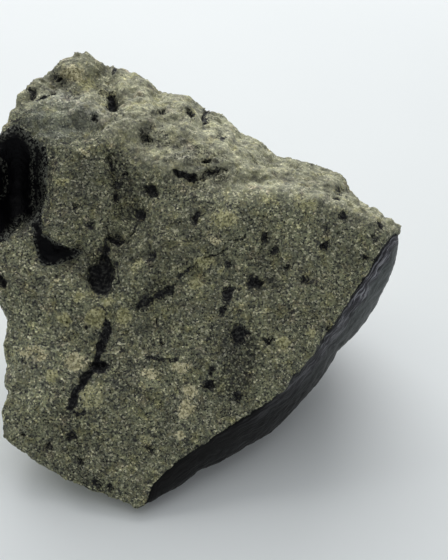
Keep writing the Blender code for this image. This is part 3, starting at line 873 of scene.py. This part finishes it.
class Nodes:
    """A material's node tree with short ways to add and join nodes."""

    def __init__(self, name):
        self.material = bpy.data.materials.new(name)
        self.material.use_nodes = True
        self.tree = self.material.node_tree
        self.shader = self.tree.nodes["Principled BSDF"]
        self.object_place = self.add("ShaderNodeTexCoord").outputs["Object"]

    def add(self, kind, **inputs):
        """A node whose named inputs are values or other nodes' outputs."""
        node = self.tree.nodes.new(kind)
        for name, value in inputs.items():
            self.join(value, node.inputs[name])
        return node

    def join(self, value, socket):
        """Sets a socket, or joins an output to it."""
        if isinstance(value, bpy.types.NodeSocket):
            self.tree.links.new(value, socket)
        elif socket.type == "RGBA":
            socket.default_value = (*value, 1.0)
        else:
            socket.default_value = value

    def math(self, operation, *values):
        """A Math node's result."""
        node = self.tree.nodes.new("ShaderNodeMath")
        node.operation = operation
        for value, socket in zip(values, node.inputs):
            self.join(value, socket)
        return node.outputs[0]

    def mark(self, name):
        """A mark's number on the skin."""
        node = self.tree.nodes.new("ShaderNodeAttribute")
        node.attribute_name = name
        return node.outputs["Fac"]

    def inside(self, name, unevenness):
        """The share of a place inside a mark's outline, which is uneven by noise."""
        level, reach, softness = MARK_EDGES[name]
        moved = self.math("MULTIPLY_ADD", unevenness, reach, self.mark(name))
        middle = level + reach / 2
        return self.rise(moved, middle - softness / 2, middle + softness / 2)

    def noise(self, wavelength_mm, detail, roughness):
        """Noise of a wavelength in mm."""
        return self.noise_at(self.object_place, 1.0 / (wavelength_mm * MM), detail, roughness)

    def noise_at(self, place, scale, detail, roughness):
        """Noise at a place."""
        node = self.add("ShaderNodeTexNoise", Vector=place, Scale=scale, Detail=detail, Roughness=roughness)
        return node.outputs["Fac"]

    def relief(self, height, strength, distance_mm):
        """A Bump node on a height."""
        return self.add("ShaderNodeBump", Height=height, Strength=strength, Distance=distance_mm * MM)

    def ramp(self, value, *stops):
        """A colour ramp's colour, from (place, colour) stops."""
        node = self.tree.nodes.new("ShaderNodeValToRGB")
        self.join(value, node.inputs["Fac"])
        elements = node.color_ramp.elements
        while len(elements) < len(stops):
            elements.new(0.5)
        for element, (place, colour) in zip(elements, stops):
            element.position = place
            element.color = (*colour, 1.0)
        return node.outputs["Color"]

    def rise(self, value, start, end):
        """0 before start, 1 past end, and even between."""
        node = self.tree.nodes.new("ShaderNodeMapRange")
        node.clamp = True
        for place, setting in enumerate((value, start, end, 0.0, 1.0)):
            self.join(setting, node.inputs[place])
        return node.outputs[0]

    def mixed(self, kind, share, first, second, operation="MIX"):
        """Two values of a kind mixed by a share."""
        node = self.tree.nodes.new("ShaderNodeMix")
        node.data_type = kind
        node.blend_type = operation
        first_input, second_input, result = MIX_SOCKETS[kind]
        self.join(share, node.inputs[0])
        self.join(first, node.inputs[first_input])
        self.join(second, node.inputs[second_input])
        return node.outputs[result]

    def blend(self, share, first, second):
        """Two numbers mixed by a share."""
        return self.mixed("FLOAT", share, first, second)

    def mix(self, share, first, second):
        """Two colours mixed by a share."""
        return self.mixed("RGBA", share, first, second)

    def times(self, colour, gain):
        """A colour times a gain."""
        return self.mixed("RGBA", 1.0, colour, gain, "MULTIPLY")

    def tinted(self, share, colour, gain):
        """A colour that takes on a gain by a share."""
        return self.mix(share, colour, self.times(colour, gain))

    def varied(self, colour, value, gains):
        """A colour times one gain where a noise is low and another where it is high."""
        low, high = gains
        return self.times(colour, self.ramp(value, (NOISE_LOW, low), (NOISE_HIGH, high)))


def broken_stone(n, cells, edge_noise, speckle, clumps):
    """The broken stone's colour, the share of black spots in it, and the noise of its grain."""
    grain_parts = n.add("ShaderNodeSeparateColor", Color=cells.outputs["Color"])
    grain_tone, grain_edge, grain_hue = grain_parts.outputs
    grain_noise = n.blend(0.5, grain_edge, edge_noise)
    facet = n.mark("facet")
    top = n.mark("top")
    stone = n.mix(n.rise(grain_hue, *YELLOW_GRAINS), n.ramp(grain_tone, *MINERALS), YELLOW_MINERAL)
    stone = n.varied(stone, speckle, SPECKLE_GAINS)
    calm = n.math("MAXIMUM", n.math("MULTIPLY", top, CALM_TOP), n.math("MULTIPLY", facet, CALM_FACET))
    stone = n.mix(calm, stone, CALM_STONE)
    stone = n.varied(stone, clumps, CLUMP_GAINS)
    stone = n.varied(stone, n.noise(*PATCH_NOISE), PATCH_GAINS)
    yellow = n.math("MULTIPLY", n.rise(n.noise(*YELLOW_NOISE), *YELLOW_RISE), YELLOW_SHARE)
    stone = n.tinted(yellow, stone, YELLOW_GAIN)
    tan = n.math("MULTIPLY", n.rise(n.noise(*TAN_NOISE), *TAN_RISE), TAN_SHARE)
    stone = n.tinted(tan, stone, TAN_GAIN)
    # painted light: the top, and the hidden side where it faces up, are painted paler
    stone = n.tinted(top, stone, TOP_PAINTED_LIGHT_GAIN)
    stone = n.times(stone, n.mark("tone"))
    stone = n.tinted(facet, stone, FACET_GAIN)

    olive = n.math("MULTIPLY", n.inside("olive", grain_noise), OLIVE_SHARE)
    stone = n.mix(olive, stone, n.ramp(grain_noise, *OLIVE_TONES))
    cream = n.math("MULTIPLY", n.inside("cream", grain_noise), CREAM_SHARE)
    stone = n.mix(cream, stone, n.ramp(grain_noise, *CREAM_TONES))

    specks = n.rise(n.noise(*SPECK_NOISE), *SPECK_RISE)
    stain_noise = n.blend(0.5, grain_edge, n.noise(*STAIN_NOISE))
    stain_and_painted_shade = n.math("MULTIPLY", stain_noise, STAIN_NOISE_SHARE)
    stain_and_painted_shade = n.math("MULTIPLY_ADD", n.mark("stain_and_painted_shade"), STAIN_MARK_SHARE, stain_and_painted_shade)
    stain_and_painted_shade = n.math("MAXIMUM", specks, n.rise(stain_and_painted_shade, *STAIN_RISE))
    dark = n.inside("dark", grain_noise)
    dark_share = n.math("MAXIMUM", dark, n.math("MULTIPLY", stain_and_painted_shade, STAIN_SHARE))
    return n.mix(dark_share, stone, n.ramp(edge_noise, *DARK_TONES)), dark, grain_noise


def crust_flow(n, depth, height, waver):
    """Fine flow lines that run along the crust's edge."""
    across = n.math("MULTIPLY_ADD", depth, FLOW_ACROSS, n.math("MULTIPLY", waver, FLOW_WAVER))
    place = n.add("ShaderNodeCombineXYZ", X=across, Y=n.math("MULTIPLY", height, FLOW_UP))
    return n.noise_at(place.outputs[0], FLOW_SCALE, FLOW_DETAIL, FLOW_ROUGHNESS)


def crust_colour(n, depth, height, waver, flow, edge_noise, speckle):
    """The crust's colour: black low down and at its edge, and greyer higher up, partly painted shade and
    sheen.
    """
    outer = n.math("MULTIPLY_ADD", waver, OUTER_WAVER, depth)
    inner_tone = n.ramp(flow, *INNER_TONES)
    high_tone_with_painted_sheen = n.mix(n.rise(outer, *OUTER_RISE_MM), inner_tone, n.ramp(flow, *OUTER_PAINTED_SHEEN_TONES))
    low_mm, high_mm = CRUST_RISE_MM
    colour = n.mix(n.rise(height, low_mm * MM, high_mm * MM), n.ramp(flow, *LOW_TONES), high_tone_with_painted_sheen)
    colour = n.varied(colour, speckle, CRUST_SPECKLE_GAINS)
    edge = n.math("MULTIPLY_ADD", edge_noise, CRUST_EDGE_WAVER, depth)
    return n.mix(n.rise(edge, *CRUST_EDGE_RISE_MM), CRUST_EDGE_COLOUR, colour)


def stone_material():
    """Grey-green broken stone, black glass and dark crust, told apart by the skin's marks."""
    n = Nodes("stone")
    cells = n.add("ShaderNodeTexVoronoi", Vector=n.object_place, Scale=1.0 / (GRAIN_MM * MM))
    edge_noise = n.noise(*EDGE_NOISE)
    speckle = n.noise(*SPECKLE_NOISE)
    clumps = n.noise(*CLUMP_NOISE)
    stone, dark, grain_noise = broken_stone(n, cells, edge_noise, speckle, clumps)

    depth = n.mark("crust")
    height = n.add("ShaderNodeSeparateXYZ", Vector=n.object_place).outputs["Z"]
    waver = n.noise(*WAVER_NOISE)
    flow = crust_flow(n, depth, height, waver)
    crust = n.inside("crust", edge_noise)
    glass = n.inside("glass", grain_noise)
    wall = n.rise(n.mark("glass"), *WALL_RISE_MM)
    wall = n.math("MULTIPLY", wall, n.rise(grain_noise, *WALL_GRAIN_RISE))
    colour = n.mix(glass, stone, n.mix(wall, GLASS_COLOUR, WALL_COLOUR))
    colour = n.mix(crust, colour, crust_colour(n, depth, height, waver, flow, edge_noise, speckle))
    n.join(colour, n.shader.inputs["Base Color"])

    roughness = n.blend(dark, n.blend(speckle, *STONE_ROUGHNESS), DARK_ROUGHNESS)
    roughness = n.blend(glass, roughness, GLASS_ROUGHNESS)
    roughness = n.blend(crust, roughness, n.blend(flow, *CRUST_ROUGHNESS))
    n.join(roughness, n.shader.inputs["Roughness"])
    shine = n.blend(glass, n.blend(crust, STONE_SHINE, CRUST_SHINE), GLASS_SHINE)
    n.join(shine, n.shader.inputs["Specular IOR Level"])

    grain_relief = n.relief(n.blend(0.5, cells.outputs["Distance"], speckle), *GRAIN_RELIEF)
    clump_relief = n.relief(clumps, *CLUMP_RELIEF)
    n.join(grain_relief.outputs[0], clump_relief.inputs["Normal"])
    flow_relief = n.relief(flow, *FLOW_RELIEF)
    normal = n.mixed("VECTOR", crust, clump_relief.outputs[0], flow_relief.outputs[0])
    n.join(normal, n.shader.inputs["Normal"])
    return n.material


def floor_material():
    """Pale matt floor."""
    n = Nodes("floor")
    n.join(n.ramp(n.noise(*FLOOR_NOISE), *FLOOR_TONES), n.shader.inputs["Base Color"])
    n.join(FLOOR_ROUGHNESS, n.shader.inputs["Roughness"])
    n.join(FLOOR_GLOW_COLOUR, n.shader.inputs["Emission Color"])
    n.join(FLOOR_GLOW, n.shader.inputs["Emission Strength"])
    return n.material


def area_light(name, place, target, size, power):
    """A square soft light that faces a target."""
    light = bpy.data.lights.new(name, "AREA")
    light.shape = "SQUARE"
    light.size = size
    light.energy = power
    made = bpy.data.objects.new(name, light)
    made.location = place
    made.rotation_euler = (Vector(target) - Vector(place)).to_track_quat("-Z", "Y").to_euler()
    bpy.context.scene.collection.objects.link(made)


def studio_world():
    """A pale surrounding that is brighter towards the back."""
    world = bpy.data.worlds.new("studio")
    world.use_nodes = True
    tree = world.node_tree
    direction = tree.nodes.new("ShaderNodeTexCoord")
    parts = tree.nodes.new("ShaderNodeSeparateXYZ")
    towards_back = tree.nodes.new("ShaderNodeMapRange")
    tree.links.new(direction.outputs["Generated"], parts.inputs[0])
    tree.links.new(parts.outputs["Y"], towards_back.inputs["Value"])
    towards_back.inputs["From Min"].default_value = -1.0
    towards_back.inputs["To Min"].default_value = WORLD_FRONT
    towards_back.inputs["To Max"].default_value = WORLD_BACK
    background = tree.nodes["Background"]
    background.inputs["Color"].default_value = WORLD_COLOUR
    tree.links.new(towards_back.outputs[0], background.inputs["Strength"])
    return world


def floor_object():
    """The floor that the stone rests on."""
    bm = bmesh.new()
    bmesh.ops.create_grid(bm, x_segments=FLOOR_CELLS, y_segments=FLOOR_CELLS, size=FLOOR_SIZE / 2)
    mesh = bpy.data.meshes.new("floor")
    bm.to_mesh(mesh)
    bm.free()
    floor = bpy.data.objects.new("floor", mesh)
    floor.data.materials.append(floor_material())
    bpy.context.scene.collection.objects.link(floor)
    return floor


def camera_object():
    """A camera at the eye, level from left to right and tilted down."""
    settings = bpy.data.cameras.new("camera")
    settings.sensor_width = SENSOR_MM
    settings.lens = VIEW_POINTS / VIEW_HEIGHT * SENSOR_MM
    settings.clip_start = CLIP_START
    camera = bpy.data.objects.new("camera", settings)
    camera.location = (EYE_MM - MIDDLE_MM) * MM
    camera.rotation_euler = (math.pi / 2 - EYE_TILT, 0.0, 0.0)
    bpy.context.scene.collection.objects.link(camera)
    return camera


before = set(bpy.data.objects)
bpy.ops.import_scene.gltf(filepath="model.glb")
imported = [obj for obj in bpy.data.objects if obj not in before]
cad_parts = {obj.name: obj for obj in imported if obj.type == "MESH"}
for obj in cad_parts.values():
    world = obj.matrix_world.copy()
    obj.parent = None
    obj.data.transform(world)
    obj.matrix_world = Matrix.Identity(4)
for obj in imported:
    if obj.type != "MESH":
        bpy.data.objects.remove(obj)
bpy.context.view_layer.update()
stone = fine_skin(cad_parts[NODE])
shape_and_mark(stone)
stone.data.materials.clear()
stone.data.materials.append(stone_material())
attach(stone, "root")
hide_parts(NODE)

floor = floor_object()
bpy.context.scene.world = studio_world()
for light_row in LIGHTS:
    area_light(*light_row)
bpy.context.scene.camera = camera_object()
bpy.context.scene.view_settings.view_transform = "Standard"
